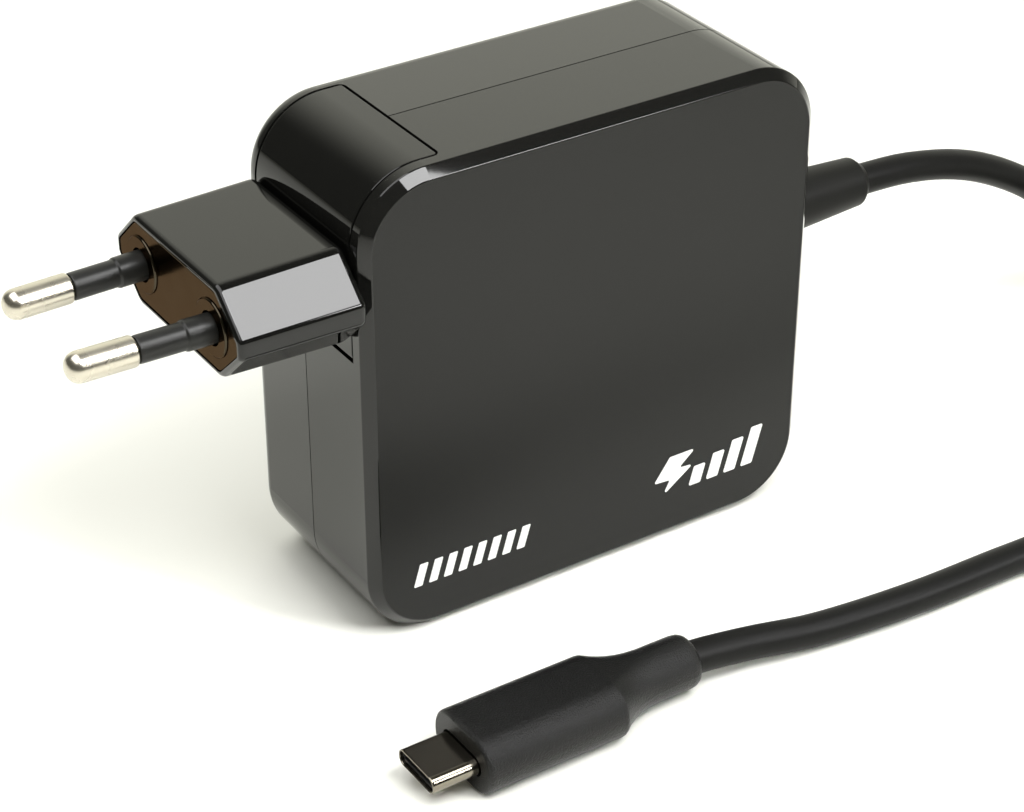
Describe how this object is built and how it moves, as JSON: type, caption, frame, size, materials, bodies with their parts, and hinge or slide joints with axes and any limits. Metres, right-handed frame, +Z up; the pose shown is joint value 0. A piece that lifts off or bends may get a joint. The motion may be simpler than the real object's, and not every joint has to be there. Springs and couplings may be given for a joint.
{
  "type": "usb wall charger",
  "caption": "Square black USB-C wall charger standing on its base, with a removable two-pin plug head at one corner and a moulded lead that ends in a USB-C plug.",
  "frame": {"origin": "middle of the flat base that the charger stands on", "axes": "+X towards the side that the lead leaves, +Y towards the back face, +Z up; the pins point to -X"},
  "size_m": [0.2402, 0.081, 0.068],
  "materials": {
    "satin_black_plastic": "satin",
    "gloss_black_plastic": "polished",
    "pin_nickel": "satin nickel plate",
    "sleeve_black": "matt",
    "contact_brass": "bright",
    "spring_steel": "rolled",
    "board_green": "satin",
    "board_black": "satin",
    "fuse_ceramic": "matt",
    "varistor_blue": "satin",
    "capacitor_yellow": "satin",
    "ferrite_grey": "matt",
    "copper_enamel": "enamelled copper",
    "component_black": "matt",
    "capacitor_sleeve": "shrink sleeve",
    "aluminium": "rolled",
    "bobbin_plastic": "matt",
    "winding_tape": "polyester tape",
    "insulating_film": "film",
    "thermal_grey": "soft",
    "wire_brown": "insulation",
    "wire_blue": "insulation",
    "wire_red": "insulation",
    "lead_black": "matt, fine grain",
    "tie_black": "hook and loop",
    "usb_nickel": "satin nickel plate",
    "contact_gold": "gold plate"
  },
  "bodies": {
    "housing": {"front_shell": "satin_black_plastic", "rear_shell": "satin_black_plastic", "input_blade_front": "contact_brass", "input_blade_rear": "contact_brass", "input_wire_front": "wire_brown", "input_wire_rear": "wire_blue", "detent_spring": "spring_steel", "main_circuit_board": "board_green", "front_insulating_sheet": "insulating_film", "front_heat_spreader": "aluminium", "rear_insulating_sheet": "insulating_film", "rear_heat_spreader": "aluminium", "fuse": "fuse_ceramic", "surge_varistor": "varistor_blue", "x_capacitor": "capacitor_yellow", "choke_core": "ferrite_grey", "choke_winding_left": "copper_enamel", "choke_winding_right": "copper_enamel", "bridge_rectifier": "component_black", "bulk_capacitor": "capacitor_sleeve", "primary_heatsink": "aluminium", "switching_transistor": "component_black", "transformer_core": "ferrite_grey", "transformer_bobbin": "bobbin_plastic", "transformer_winding": "winding_tape", "thermal_pad": "thermal_grey", "y_capacitor": "varistor_blue", "optocoupler": "component_black", "secondary_heatsink": "aluminium", "synchronous_rectifier": "component_black", "output_capacitor_upper": "aluminium", "output_capacitor_lower": "aluminium", "power_delivery_board": "board_black", "output_wire_positive": "wire_red", "output_wire_negative": "component_black", "strain_relief": "lead_black", "cable_to_coil": "lead_black", "cable_coil": "lead_black", "coil_tie": "tie_black", "cable_to_plug": "lead_black", "usb_c_grip": "lead_black", "usb_c_shell": "usb_nickel", "usb_c_contact_block": "component_black", "usb_c_contacts_upper": "contact_gold", "usb_c_contacts_lower": "contact_gold", "usb_c_marker_board": "board_green"},
    "plug_head": {"plug_head_shell": "gloss_black_plastic", "pin_carrier": "gloss_black_plastic", "pin_front": "pin_nickel", "pin_rear": "pin_nickel", "sleeve_front": "sleeve_black", "sleeve_rear": "sleeve_black", "contact_strip_front": "contact_brass", "contact_strip_rear": "contact_brass"}
  },
  "joints": [
    {"name": "plug_head_slide", "type": "slide", "parent": "housing", "child": "plug_head", "axis": [0, 0, 1], "range_m": [0, 0.008]}
  ]
}
